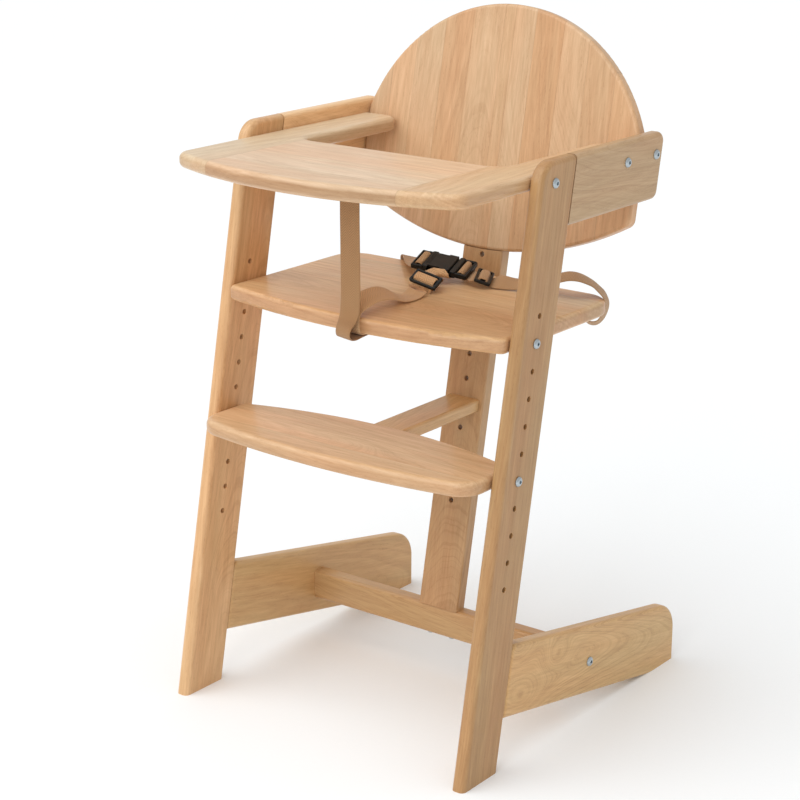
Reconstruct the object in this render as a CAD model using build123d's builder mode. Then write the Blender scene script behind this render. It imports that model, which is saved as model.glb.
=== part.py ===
from build123d import *
import math
import os

# Wooden baby high chair: two tilted legs, floor runners, arm rails, a rear post, a round back board, a fixed tray,
# a seat board and a footrest that bolt at any of a row of holes, and a webbing harness.
# +Z is up, the front faces -Y, the seated child's left is +X. The origin is on the floor, under the middle of the chair.

os.makedirs("parts", exist_ok=True)

# ---- driving dimensions, mm ----
TILT = 11.0            # legs, rear post and back board lean back by this, degrees
DEPTH_MID = 223.0      # from the front foot of the legs back to the middle of the chair's depth
BOARD = 18.0           # thickness of the frame boards
INNER_HALF = 207.0     # half the width between the legs
OUTER_HALF = INNER_HALF + BOARD
LEG_WIDTH = 67.0
FRAME_TOP = 719.0      # top of the legs and of the arm rails
HOLE_PITCH = 32.0      # spacing of the adjustment holes along the leg
HOLE_COUNT = 11
HOLE_R = 3.5
HOLE_IN = 31.0         # from the leg's front edge to the row of holes
HOLE_TOP = 560.8       # top hole, measured along the leg
SEAT_HOLE = 1          # the seat is bolted at the second hole from the top
STEP_HOLE = 6          # the footrest is bolted at the seventh
RAIL_BOTTOM = 638.0
RAIL_REAR = 263.0      # rear end of the rails, square to the lean
RUNNER_LOW = 78.7      # where the runner's lower edge meets the leg, along the leg
RUNNER_HIGH = 169.4
RUNNER_END = 484.5
POST_HALF = 30.0
POST_FRONT = 236.7     # front face of the post and back board, square to the lean
STRETCHER_LOW, STRETCHER_TOP = 50.0, 90.0
STRETCHER_FRONT, STRETCHER_REAR = 260.0, 282.0
BACK_HALF = 206.0
BACK_R, BACK_RC = 217.0, 698.5        # top arc of the back board and its centre, along the board
BACK_LOW_R, BACK_LOW = 396.0, 607.3   # bottom arc and its lowest point
SEAT_T, STEP_T = 19.0, 18.5
BOARD_HALF = 206.0     # half width of the seat and footrest
TRAY_TOP, TRAY_T = 702.0, 18.5
TRAY_HALF = 206.9
TRAY_FRONT_R, TRAY_FRONT = 485.0, -38.5
TRAY_CUT_Y, TRAY_CUT_HALF, TRAY_CUT_R = 166.0, 149.0, 25.0
TRAY_ARM_END = 373.0
TRAY_JOINT = 137.0
BOLT_Z = 693.0
HEAD_R, HEAD_H = 6.0, 3.2
SHANK_R, BORE_R = 3.0, 3.25
INSERT_R = 5.0
WEB_W, WEB_T = 30.0, 1.8

s, c = math.sin(math.radians(TILT)), math.cos(math.radians(TILT))


def lean(along, across):
    """Depth and height of a point given along the lean and square to it."""
    return (along * s + across * c, along * c - across * s)


def side(x):
    """Plane facing +X at x, its local axes the chair's depth and height."""
    return Plane(origin=(x, -DEPTH_MID, 0), x_dir=(0, 1, 0), z_dir=(1, 0, 0))


def level(z):
    """Plane facing up at height z, its local axes width and depth."""
    return Plane(origin=(0, -DEPTH_MID, z))


def leaning(across):
    """Plane along the lean facing forwards, square distance `across` from the legs' front edge; local axes width and distance along the lean."""
    return Plane(origin=(0, across * c - DEPTH_MID, -across * s), x_dir=(1, 0, 0), z_dir=(0, -c, s))


def edges_at(part, axis, values, tol=0.05):
    """Edges lying wholly in one of the planes axis = value."""
    def key(v):
        return {"x": v.X, "y": v.Y, "z": v.Z}[axis]
    return [e for e in part.edges() if any(abs(key(e.start_point()) - v) < tol and abs(key(e.end_point()) - v) < tol and abs(key(e.center()) - v) < tol for v in values)]


def hole_y_z(k):
    return lean(HOLE_TOP - HOLE_PITCH * k, HOLE_IN)


def post_hole_along(k):
    """Where hole k of the post is along its front face, level with hole k of the legs."""
    return (hole_y_z(k)[1] + POST_FRONT * s) / c


SEAT_Z = hole_y_z(SEAT_HOLE)[1]
STEP_Z = hole_y_z(STEP_HOLE)[1]
DOWEL_R, DOWEL_BORE_R = 4.0, 4.03

# ================= legs =================
leg_top_rear = ((LEG_WIDTH + FRAME_TOP * s) / c, FRAME_TOP)
leg_top_front = (FRAME_TOP * s / c, FRAME_TOP)
tray_front_bolt = (162.8, BOLT_Z)
runner_dowels = [lean(104, LEG_WIDTH), lean(144, LEG_WIDTH)]
rail_dowels = [((LEG_WIDTH + 658 * s) / c, 658), ((LEG_WIDTH + 700 * s) / c, 700)]

with BuildPart() as leg_left:
    with BuildSketch(side(INNER_HALF)) as leg_outline:
        with BuildLine():
            Polyline((0, 0), (LEG_WIDTH / c, 0), leg_top_rear, leg_top_front, close=True)
        make_face()
        fillet([v for v in leg_outline.vertices() if v.Y > 700 and v.X < 150], radius=28)
    extrude(amount=BOARD)
    rim = edges_at(leg_left.part, "x", (INNER_HALF, OUTER_HALF))
    front = [
        e for e in rim
        if e.center().Z > 3 and ((e.center().Y + DEPTH_MID) * c - e.center().Z * s < 60 or e.center().Z > FRAME_TOP - 8)]
    fillet(front, radius=6.5)
    rear = [e for e in edges_at(leg_left.part, "x", (INNER_HALF, OUTER_HALF)) if e.length > 400 and (e.center().Y + DEPTH_MID) * c - e.center().Z * s > 60]
    fillet(rear, radius=2.2)
    # the row of adjustment holes and the tray bolt's hole go right through
    with BuildSketch(side(INNER_HALF)):
        with Locations(*[hole_y_z(k) for k in range(HOLE_COUNT)]):
            Circle(HOLE_R)
        with Locations(tray_front_bolt):
            Circle(BORE_R)
    extrude(amount=BOARD, mode=Mode.SUBTRACT)
    # dowel holes for the runner, square to the leg's rear edge
    with Locations(*[Plane(origin=(OUTER_HALF - BOARD / 2, y - DEPTH_MID, z), x_dir=(1, 0, 0), z_dir=(0, c, -s)) for y, z in runner_dowels]):
        Cylinder(DOWEL_BORE_R, 20.5, align=(Align.CENTER, Align.CENTER, Align.MAX), mode=Mode.SUBTRACT)
    # dowel holes for the rail, level
    with Locations(*[Plane(origin=(OUTER_HALF - BOARD / 2, y - DEPTH_MID, z), x_dir=(1, 0, 0), z_dir=(0, 1, 0)) for y, z in rail_dowels]):
        Cylinder(DOWEL_BORE_R, 41, mode=Mode.SUBTRACT)

with BuildPart() as leg_right:
    mirror(leg_left.part, about=Plane.YZ)

# ================= floor runners =================
stretcher_bolt = (271.0, 71.0)
with BuildPart() as runner_left:
    with BuildSketch(side(INNER_HALF)) as runner_outline:
        with BuildLine():
            Polyline(
                lean(RUNNER_LOW, LEG_WIDTH),
                (RUNNER_LOW * s + (RUNNER_LOW * c / s) * c, 0),
                (RUNNER_END, 0),
                (RUNNER_END, RUNNER_HIGH * c - ((RUNNER_END - RUNNER_HIGH * s) / c) * s),
                lean(RUNNER_HIGH, LEG_WIDTH),
                close=True,
            )
        make_face()
        fillet([v for v in runner_outline.vertices() if v.Y > 60 and v.X > RUNNER_END - 1], radius=42)
        fillet([v for v in runner_outline.vertices() if v.Y > 140], radius=10)
    extrude(amount=BOARD)
    rim = [e for e in edges_at(runner_left.part, "x", (INNER_HALF, OUTER_HALF))
           if e.center().Z > 2.5 and (e.center().Y + DEPTH_MID) * c - e.center().Z * s > LEG_WIDTH + 0.5]
    fillet(rim, radius=5)
    with BuildSketch(side(INNER_HALF)):
        with Locations(stretcher_bolt):
            Circle(BORE_R)
    extrude(amount=BOARD, mode=Mode.SUBTRACT)
    with Locations(*[Plane(origin=(OUTER_HALF - BOARD / 2, y - DEPTH_MID, z), x_dir=(1, 0, 0), z_dir=(0, c, -s)) for y, z in runner_dowels]):
        Cylinder(DOWEL_BORE_R, 20.5, align=(Align.CENTER, Align.CENTER, Align.MIN), mode=Mode.SUBTRACT)

with BuildPart() as runner_right:
    mirror(runner_left.part, about=Plane.YZ)

# ================= arm rails =================
tray_rear_bolt = (319.0, BOLT_Z)
back_mid = POST_FRONT + BOARD / 2
back_bolt = ((back_mid + BOLT_Z * s) / c, BOLT_Z)
with BuildPart() as rail_left:
    with BuildSketch(side(INNER_HALF)) as rail_outline:
        with BuildLine():
            Polyline(
                ((LEG_WIDTH + RAIL_BOTTOM * s) / c, RAIL_BOTTOM),
                ((RAIL_REAR + RAIL_BOTTOM * s) / c, RAIL_BOTTOM),
                ((RAIL_REAR + FRAME_TOP * s) / c, FRAME_TOP),
                leg_top_rear,
                close=True,
            )
        make_face()
        fillet([v for v in rail_outline.vertices() if v.X > 380], radius=12)
    extrude(amount=BOARD)
    rim = [e for e in edges_at(rail_left.part, "x", (INNER_HALF, OUTER_HALF))
           if (e.center().Y + DEPTH_MID) * c - e.center().Z * s > LEG_WIDTH + 0.5]
    fillet(rim, radius=6)
    with BuildSketch(side(INNER_HALF)):
        with Locations(tray_rear_bolt, back_bolt):
            Circle(BORE_R)
    extrude(amount=BOARD, mode=Mode.SUBTRACT)
    with Locations(*[Plane(origin=(OUTER_HALF - BOARD / 2, y - DEPTH_MID, z), x_dir=(1, 0, 0), z_dir=(0, 1, 0)) for y, z in rail_dowels]):
        Cylinder(DOWEL_BORE_R, 41, mode=Mode.SUBTRACT)

with BuildPart() as rail_right:
    mirror(rail_left.part, about=Plane.YZ)

# ================= stretcher =================
post_screw_xs = (-17.0, 17.0)
POST_SCREW_Y = 269.0
with BuildPart() as stretcher:
    with BuildSketch(side(-INNER_HALF)) as stretcher_section:
        with BuildLine():
            Polyline((STRETCHER_FRONT, STRETCHER_LOW), (STRETCHER_REAR, STRETCHER_LOW), (STRETCHER_REAR, STRETCHER_TOP), (STRETCHER_FRONT, STRETCHER_TOP), close=True)
        make_face()
        fillet(stretcher_section.vertices(), radius=4.5)
    extrude(amount=2 * INNER_HALF)
    with Locations(Plane(origin=(INNER_HALF, stretcher_bolt[0] - DEPTH_MID, stretcher_bolt[1]), z_dir=(1, 0, 0)),
                   Plane(origin=(-INNER_HALF, stretcher_bolt[0] - DEPTH_MID, stretcher_bolt[1]), z_dir=(-1, 0, 0))):
        Cylinder(INSERT_R + 0.03, 21, align=(Align.CENTER, Align.CENTER, Align.MAX), mode=Mode.SUBTRACT)
    with Locations(*[(x, POST_SCREW_Y - DEPTH_MID, 70) for x in post_screw_xs]):
        Cylinder(2.55, 60, mode=Mode.SUBTRACT)

# ================= rear post =================
back_dowels = [(-15.0, BACK_LOW + 0.3), (15.0, BACK_LOW + 0.3)]
low_centre = BACK_LOW + BACK_LOW_R
with BuildPart() as rear_post:
    with BuildSketch(leaning(POST_FRONT)):
        with BuildLine():
            y_at = low_centre - math.sqrt(BACK_LOW_R ** 2 - POST_HALF ** 2)
            foot_low = 110.0
            Line((-POST_HALF, foot_low), (POST_HALF, foot_low))
            Line((POST_HALF, foot_low), (POST_HALF, y_at))
            ThreePointArc((POST_HALF, y_at), (0, BACK_LOW), (-POST_HALF, y_at))
            Line((-POST_HALF, y_at), (-POST_HALF, foot_low))
        make_face()
    extrude(amount=-BOARD)
    long_edges = [e for e in rear_post.edges() if e.length > 300]
    fillet(long_edges, radius=2.5)
    # the foot is cut level, to stand on the stretcher
    split(bisect_by=Plane.XY.offset(STRETCHER_TOP), keep=Keep.TOP)
    with BuildSketch(leaning(POST_FRONT)):
        with Locations(*[(0, post_hole_along(k)) for k in range(HOLE_COUNT)]):
            Circle(HOLE_R)
    extrude(amount=-BOARD, mode=Mode.SUBTRACT)
    with Locations(*[Plane(origin=leaning(back_mid).from_local_coords(Vector(x, q, 0)), x_dir=(1, 0, 0), z_dir=(0, s, c)) for x, q in back_dowels]):
        Cylinder(DOWEL_BORE_R, 41, mode=Mode.SUBTRACT)
    with Locations(*[(x, POST_SCREW_Y - DEPTH_MID, 112.0) for x in post_screw_xs]):
        Cylinder(2.05, 60, align=(Align.CENTER, Align.CENTER, Align.MAX), mode=Mode.SUBTRACT)

# ================= back board =================
with BuildPart() as backrest:
    with BuildSketch(leaning(POST_FRONT)) as back_outline:
        with BuildLine():
            shoulder = BACK_RC + math.sqrt(BACK_R ** 2 - BACK_HALF ** 2)
            foot = low_centre - math.sqrt(BACK_LOW_R ** 2 - BACK_HALF ** 2)
            ThreePointArc((-BACK_HALF, foot), (0, BACK_LOW), (BACK_HALF, foot))
            Line((BACK_HALF, foot), (BACK_HALF, shoulder))
            ThreePointArc((BACK_HALF, shoulder), (0, BACK_RC + BACK_R), (-BACK_HALF, shoulder))
            Line((-BACK_HALF, shoulder), (-BACK_HALF, foot))
        make_face()
        fillet([v for v in back_outline.vertices() if v.Y < foot + 3], radius=12)
        fillet([v for v in back_outline.vertices() if v.Y > shoulder - 3], radius=30)
    extrude(amount=-BOARD)
    front_face = backrest.faces().filter_by(GeomType.PLANE).filter_by(lambda f: abs(f.normal_at().Y + c) < 0.01).sort_by(Axis.Y)[0]
    rear_face = backrest.faces().filter_by(GeomType.PLANE).filter_by(lambda f: abs(f.normal_at().Y - c) < 0.01).sort_by(Axis.Y)[-1]
    # the bottom edge stays nearly square where the post butts against it
    fillet(list(front_face.edges()) + list(rear_face.edges()), radius=4.5)
    with Locations(*[Plane(origin=(sx * BACK_HALF, back_bolt[0] - DEPTH_MID, back_bolt[1]), z_dir=(sx, 0, 0)) for sx in (1, -1)]):
        Cylinder(INSERT_R + 0.03, 23, align=(Align.CENTER, Align.CENTER, Align.MAX), mode=Mode.SUBTRACT)
    with Locations(*[Plane(origin=leaning(back_mid).from_local_coords(Vector(x, q, 0)), x_dir=(1, 0, 0), z_dir=(0, s, c)) for x, q in back_dowels]):
        Cylinder(DOWEL_BORE_R, 41, mode=Mode.SUBTRACT)

# ================= tray =================
tray_insert_xs = TRAY_HALF - 1.2
with BuildPart() as tray_whole:
    with BuildSketch(level(TRAY_TOP - TRAY_T)) as tray_outline:
        with BuildLine():
            front_side = TRAY_FRONT + TRAY_FRONT_R - math.sqrt(TRAY_FRONT_R ** 2 - TRAY_HALF ** 2)
            ThreePointArc((-TRAY_HALF, front_side), (0, TRAY_FRONT), (TRAY_HALF, front_side))
            Polyline((TRAY_HALF, front_side), (TRAY_HALF, TRAY_ARM_END), (TRAY_CUT_HALF, TRAY_ARM_END), (TRAY_CUT_HALF, TRAY_CUT_Y),
                     (-TRAY_CUT_HALF, TRAY_CUT_Y), (-TRAY_CUT_HALF, TRAY_ARM_END), (-TRAY_HALF, TRAY_ARM_END), (-TRAY_HALF, front_side))
        make_face()
        fillet([v for v in tray_outline.vertices() if v.Y < front_side + 1], radius=22)
        fillet([v for v in tray_outline.vertices() if abs(v.Y - TRAY_CUT_Y) < 1], radius=TRAY_CUT_R)
        fillet([v for v in tray_outline.vertices() if v.Y > TRAY_ARM_END - 1 and abs(v.X) < TRAY_CUT_HALF + 1], radius=20)
        fillet([v for v in tray_outline.vertices() if v.Y > TRAY_ARM_END - 1 and abs(v.X) > TRAY_HALF - 1], radius=10)
    extrude(amount=TRAY_T)
    fillet(edges_at(tray_whole.part, "z", (TRAY_TOP, TRAY_TOP - TRAY_T)), radius=7.5)

tray_dowels = [30.0, 125.0]
TRAY_MID_Z = TRAY_TOP - TRAY_T / 2
with BuildPart() as tray_panel:
    add(tray_whole.part)
    split(bisect_by=Plane.YZ.offset(TRAY_JOINT), keep=Keep.BOTTOM)
    split(bisect_by=Plane.YZ.offset(-TRAY_JOINT), keep=Keep.TOP)
    with Locations(*[Plane(origin=(sx * TRAY_JOINT, y - DEPTH_MID, TRAY_MID_Z), z_dir=(1, 0, 0)) for sx in (1, -1) for y in tray_dowels]):
        Cylinder(DOWEL_BORE_R, 41, mode=Mode.SUBTRACT)
    # pilot hole for the strap screw
    with Locations((9.5, 84 - DEPTH_MID, TRAY_TOP - TRAY_T)):
        Cylinder(1.8, 28, mode=Mode.SUBTRACT)

with BuildPart() as tray_arm_left:
    add(tray_whole.part)
    split(bisect_by=Plane.YZ.offset(TRAY_JOINT), keep=Keep.TOP)
    with Locations(*[Plane(origin=(TRAY_HALF, y - DEPTH_MID, z), z_dir=(1, 0, 0)) for y, z in (tray_front_bolt, tray_rear_bolt)]):
        Cylinder(INSERT_R + 0.03, 23, align=(Align.CENTER, Align.CENTER, Align.MAX), mode=Mode.SUBTRACT)
    with Locations(*[Plane(origin=(TRAY_JOINT, y - DEPTH_MID, TRAY_MID_Z), z_dir=(1, 0, 0)) for y in tray_dowels]):
        Cylinder(DOWEL_BORE_R, 41, mode=Mode.SUBTRACT)

with BuildPart() as tray_arm_right:
    mirror(tray_arm_left.part, about=Plane.YZ)

# ================= seat =================
SEAT_REAR = 338.5
with BuildPart() as seat:
    with BuildSketch(level(SEAT_Z - SEAT_T / 2)) as seat_outline:
        with BuildLine():
            seat_front, seat_side = 67.0, 95.0
            ThreePointArc((-BOARD_HALF, seat_side), (0, seat_front), (BOARD_HALF, seat_side))
            Polyline((BOARD_HALF, seat_side), (BOARD_HALF, SEAT_REAR), (-BOARD_HALF, SEAT_REAR), (-BOARD_HALF, seat_side))
        make_face()
        fillet([v for v in seat_outline.vertices() if v.Y < seat_side + 1], radius=10)
        fillet([v for v in seat_outline.vertices() if v.Y > SEAT_REAR - 1], radius=38)
    extrude(amount=SEAT_T)
    fillet(edges_at(seat.part, "z", (SEAT_Z - SEAT_T / 2, SEAT_Z + SEAT_T / 2)), radius=6)
    seat_y = hole_y_z(SEAT_HOLE)[0]
    with Locations(*[Plane(origin=(sx * BOARD_HALF, seat_y - DEPTH_MID, SEAT_Z), z_dir=(sx, 0, 0)) for sx in (1, -1)]):
        Cylinder(INSERT_R + 0.03, 23, align=(Align.CENTER, Align.CENTER, Align.MAX), mode=Mode.SUBTRACT)
    seat_rear_at = leaning(POST_FRONT - 1.0).from_local_coords(Vector(0, post_hole_along(SEAT_HOLE), 0))
    with Locations(Plane(origin=seat_rear_at, x_dir=(1, 0, 0), z_dir=(0, c, -s))):
        Cylinder(INSERT_R + 0.03, 17, align=(Align.CENTER, Align.CENTER, Align.MAX), mode=Mode.SUBTRACT)
    with Locations((149.86, 316.29 - DEPTH_MID, SEAT_Z - SEAT_T / 2), (-113, 303 - DEPTH_MID, SEAT_Z - SEAT_T / 2), (9.5, 104 - DEPTH_MID, SEAT_Z - SEAT_T / 2)):
        Cylinder(1.8, 26, mode=Mode.SUBTRACT)

# ================= footrest and its strut =================
STEP_REAR, STEP_REAR_R, STEP_FRONT, STEP_FRONT_R = 150.0, 611.0, 13.0, 1028.0
with BuildPart() as footrest:
    with BuildSketch(level(STEP_Z - STEP_T / 2)) as step_outline:
        with BuildLine():
            rear_side = STEP_REAR - STEP_REAR_R + math.sqrt(STEP_REAR_R ** 2 - BOARD_HALF ** 2)
            front_side_y = STEP_FRONT + STEP_FRONT_R - math.sqrt(STEP_FRONT_R ** 2 - BOARD_HALF ** 2)
            ThreePointArc((-BOARD_HALF, front_side_y), (0, STEP_FRONT), (BOARD_HALF, front_side_y))
            Line((BOARD_HALF, front_side_y), (BOARD_HALF, rear_side))
            ThreePointArc((BOARD_HALF, rear_side), (0, STEP_REAR), (-BOARD_HALF, rear_side))
            Line((-BOARD_HALF, rear_side), (-BOARD_HALF, front_side_y))
        make_face()
        fillet([v for v in step_outline.vertices() if v.Y < front_side_y + 1], radius=34)
    extrude(amount=STEP_T)
    step_rims = edges_at(footrest.part, "z", (STEP_Z - STEP_T / 2, STEP_Z + STEP_T / 2))
    fillet([e for e in step_rims if e.center().Y < 66 - DEPTH_MID], radius=7.5)
    fillet([e for e in edges_at(footrest.part, "z", (STEP_Z - STEP_T / 2, STEP_Z + STEP_T / 2)) if e.center().Y > 130 - DEPTH_MID], radius=2.5)
    step_y = hole_y_z(STEP_HOLE)[0]
    with Locations(*[Plane(origin=(sx * BOARD_HALF, step_y - DEPTH_MID, STEP_Z), z_dir=(sx, 0, 0)) for sx in (1, -1)]):
        Cylinder(INSERT_R + 0.03, 23, align=(Align.CENTER, Align.CENTER, Align.MAX), mode=Mode.SUBTRACT)
    with Locations(*[Plane(origin=(x, STEP_REAR - 0.1 - DEPTH_MID, STEP_Z), z_dir=(0, 1, 0)) for x in (-12, 12)]):
        Cylinder(3.03, 30.5, mode=Mode.SUBTRACT)

STRUT_HALF, STRUT_T = 24.0, 16.5
STRUT_GAP = 0.3
with BuildPart() as footrest_strut:
    strut_low = STEP_Z - STRUT_T / 2
    with BuildSketch(side(-STRUT_HALF)):
        with BuildLine():
            Polyline((STEP_REAR - 6, strut_low),
                     ((POST_FRONT - STRUT_GAP + strut_low * s) / c, strut_low),
                     ((POST_FRONT - STRUT_GAP + (strut_low + STRUT_T) * s) / c, strut_low + STRUT_T),
                     (STEP_REAR - 6, strut_low + STRUT_T), close=True)
        make_face()
    extrude(amount=2 * STRUT_HALF)
    fillet([e for e in footrest_strut.edges() if e.length > 120], radius=4)
    # the front end is coped to the footrest's curved rear edge
    with BuildSketch(level(strut_low - 1)):
        with BuildLine():
            reach = STEP_REAR - STEP_REAR_R + math.sqrt(STEP_REAR_R ** 2 - 30 ** 2)
            ThreePointArc((-30, reach), (0, STEP_REAR), (30, reach))
            Polyline((30, reach), (30, STEP_REAR - 20), (-30, STEP_REAR - 20), (-30, reach))
        make_face()
    extrude(amount=STRUT_T + 2, mode=Mode.SUBTRACT)
    with Locations(*[Plane(origin=(x, STEP_REAR - 0.1 - DEPTH_MID, STEP_Z), z_dir=(0, 1, 0)) for x in (-12, 12)]):
        Cylinder(3.03, 30.5, mode=Mode.SUBTRACT)
    strut_rear_at = leaning(POST_FRONT).from_local_coords(Vector(0, post_hole_along(STEP_HOLE), 0))
    with Locations(Plane(origin=strut_rear_at, x_dir=(1, 0, 0), z_dir=(0, c, -s))):
        Cylinder(4.53, 18, align=(Align.CENTER, Align.CENTER, Align.MAX), mode=Mode.SUBTRACT)

# ================= dowels =================
with BuildPart() as frame_dowels:
    for sx in (1, -1):
        with Locations(*[Plane(origin=(sx * (OUTER_HALF - BOARD / 2), y - DEPTH_MID, z), x_dir=(1, 0, 0), z_dir=(0, c, -s)) for y, z in runner_dowels],
                       *[Plane(origin=(sx * (OUTER_HALF - BOARD / 2), y - DEPTH_MID, z), x_dir=(1, 0, 0), z_dir=(0, 1, 0)) for y, z in rail_dowels]):
            Cylinder(DOWEL_R, 40)

with BuildPart() as backrest_dowels:
    with Locations(*[Plane(origin=leaning(back_mid).from_local_coords(Vector(x, q, 0)), x_dir=(1, 0, 0), z_dir=(0, s, c)) for x, q in back_dowels]):
        Cylinder(DOWEL_R, 40)

with BuildPart() as tray_dowels_part:
    with Locations(*[Plane(origin=(sx * TRAY_JOINT, y - DEPTH_MID, TRAY_MID_Z), z_dir=(1, 0, 0)) for sx in (1, -1) for y in tray_dowels]):
        Cylinder(DOWEL_R, 40)

with BuildPart() as strut_dowels:
    with Locations(*[Plane(origin=(x, STEP_REAR - 0.1 - DEPTH_MID, STEP_Z), z_dir=(0, 1, 0)) for x in (-12, 12)]):
        Cylinder(3.0, 30)


# ================= bolts, inserts and screws =================
def button_bolt(reach, head_r=HEAD_R, head_h=HEAD_H, shank_r=SHANK_R, start=0.0):
    """Button-head socket bolt: the head's seat is at z = 0 and its shank runs down to -reach; a shank that starts at -start leaves the stretch above it out."""
    with BuildPart() as bolt:
        with BuildSketch(Plane.XZ):
            with BuildLine():
                Polyline((0, 0), (head_r, 0), (head_r, head_h * 0.3))
                ThreePointArc((head_r, head_h * 0.3), (head_r * 0.78, head_h * 0.83), (head_r * 0.42, head_h))
                Polyline((head_r * 0.42, head_h), (0, head_h), (0, 0))
            make_face()
        revolve(axis=Axis.Z)
        with BuildSketch(Plane.XY.offset(head_h)):
            RegularPolygon(radius=2.0, side_count=6, major_radius=False)
        extrude(amount=-2.0, mode=Mode.SUBTRACT)
        with BuildSketch(Plane.XY.offset(-start)):
            Circle(shank_r)
        extrude(amount=-(reach - start))
    return bolt.part


def insert_sleeve(length, outer=INSERT_R, inner=SHANK_R + 0.05):
    """Threaded insert, its mouth at z = 0."""
    with BuildPart() as sleeve:
        with BuildSketch(Plane.XY):
            Circle(outer)
            Circle(inner, mode=Mode.SUBTRACT)
        extrude(amount=-length)
    return sleeve.part


def outward(sx, y, z, x=OUTER_HALF):
    """Where a bolt's head sits on the outer face of a side."""
    return Plane(origin=(sx * x, y - DEPTH_MID, z), z_dir=(sx, 0, 0)).location


both = (1, -1)
tray_bolt_solid = button_bolt(37)
with BuildPart() as tray_bolts:
    with Locations(*[outward(sx, y, z) for sx in both for y, z in (tray_front_bolt, tray_rear_bolt)]):
        add(tray_bolt_solid)
sleeve_20 = insert_sleeve(20)
with BuildPart() as tray_inserts:
    with Locations(*[outward(sx, y, z, TRAY_HALF - 1.2) for sx in both for y, z in (tray_front_bolt, tray_rear_bolt)]):
        add(sleeve_20)
with BuildPart() as backrest_bolts:
    with Locations(*[outward(sx, *back_bolt) for sx in both]):
        add(tray_bolt_solid)
with BuildPart() as backrest_inserts:
    with Locations(*[outward(sx, *back_bolt, BACK_HALF - 1.2) for sx in both]):
        add(sleeve_20)
with BuildPart() as stretcher_bolts:
    with Locations(*[outward(sx, *stretcher_bolt) for sx in both]):
        add(tray_bolt_solid)
with BuildPart() as stretcher_inserts:
    with Locations(*[outward(sx, *stretcher_bolt, INNER_HALF - 0.5) for sx in both]):
        add(sleeve_20)

# the footrest's bolts, whole: two through the legs and one through the post into the strut
rear_bolt_at = leaning(POST_FRONT + BOARD + 0.2)


def behind_post(k):
    """Where a bolt's head sits behind the post at hole k."""
    return Plane(origin=rear_bolt_at.from_local_coords(Vector(0, post_hole_along(k), 0)), x_dir=(1, 0, 0), z_dir=(0, c, -s)).location


side_step_bolt = button_bolt(37)
rear_step_bolt = button_bolt(33)
with BuildPart() as footrest_bolts:
    with Locations(*[outward(sx, *hole_y_z(STEP_HOLE), OUTER_HALF + 0.2) for sx in both]):
        add(side_step_bolt)
    with Locations(behind_post(STEP_HOLE)):
        add(rear_step_bolt)
with BuildPart() as footrest_inserts:
    with Locations(*[outward(sx, *hole_y_z(STEP_HOLE), BOARD_HALF - 1.2) for sx in both]):
        add(sleeve_20)
    with Locations(Plane(origin=leaning(POST_FRONT - 1.0).from_local_coords(Vector(0, post_hole_along(STEP_HOLE), 0)), x_dir=(1, 0, 0), z_dir=(0, c, -s)).location):
        add(insert_sleeve(15, outer=4.5))

# the seat's bolts ride with the seat between the holes, so the stretch of shank inside the leg or post is left out
side_seat_bolt = button_bolt(37, start=BOARD + 1.6)
rear_seat_bolt = button_bolt(34, start=BOARD + 1.6)
with BuildPart() as seat_bolts:
    with Locations(*[outward(sx, *hole_y_z(SEAT_HOLE), OUTER_HALF + 0.2) for sx in both]):
        add(side_seat_bolt)
    with Locations(behind_post(SEAT_HOLE)):
        add(rear_seat_bolt)
with BuildPart() as seat_inserts:
    with Locations(*[outward(sx, *hole_y_z(SEAT_HOLE), BOARD_HALF - 1.2) for sx in both]):
        add(sleeve_20)
    with Locations(Plane(origin=leaning(POST_FRONT - 1.8).from_local_coords(Vector(0, post_hole_along(SEAT_HOLE), 0)), x_dir=(1, 0, 0), z_dir=(0, c, -s)).location):
        add(insert_sleeve(15))

with BuildPart() as post_screws:
    with Locations(*[Plane(origin=(x, POST_SCREW_Y - DEPTH_MID, STRETCHER_LOW), z_dir=(0, 0, -1)).location for x in post_screw_xs]):
        add(button_bolt(60, head_r=5.0, head_h=2.8, shank_r=2.0))

# ================= harness =================
def band(points, t=WEB_T):
    """Outline of a strap of thickness t along a line of points."""
    def unit(a, b):
        d = math.hypot(b[0] - a[0], b[1] - a[1])
        return ((b[0] - a[0]) / d, (b[1] - a[1]) / d)
    left, right = [], []
    for i, p in enumerate(points):
        d0 = unit(points[i - 1], p) if i else unit(p, points[1])
        d1 = unit(p, points[i + 1]) if i < len(points) - 1 else d0
        nx, ny = -(d0[1] + d1[1]) / 2, (d0[0] + d1[0]) / 2
        k = t / 2 / (nx * nx + ny * ny)
        left.append((p[0] + nx * k, p[1] + ny * k))
        right.append((p[0] - nx * k, p[1] - ny * k))
    return left + right[::-1]


SEAT_TOP, SEAT_LOW = SEAT_Z + SEAT_T / 2, SEAT_Z - SEAT_T / 2
TRAY_LOW = TRAY_TOP - TRAY_T
STRAP_X = 9.5
# tray strap: screwed under the tray, it hangs down in front of the seat, bulges forwards in a loop and is screwed under the seat
tray_line = [(98, TRAY_LOW - 1.5), (69, TRAY_LOW - 1.5), (65.2, TRAY_LOW - 5), (64.4, 532), (61.5, 524.5), (52, 515.5), (48.6, 508), (49.6, 502), (54, 499.4),
             (61, 499.2), (68, 500.2), (75, SEAT_LOW - 3.0), (116, SEAT_LOW - 3.0)]
with BuildPart() as tray_strap:
    with BuildSketch(side(STRAP_X - WEB_W / 2)):
        with BuildLine():
            Polyline(*band(tray_line), close=True)
        make_face()
    extrude(amount=WEB_W)
    with Locations((STRAP_X, 84 - DEPTH_MID, TRAY_LOW), (STRAP_X, 104 - DEPTH_MID, SEAT_LOW - 3)):
        Cylinder(2.4, 8, mode=Mode.SUBTRACT)

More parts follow.
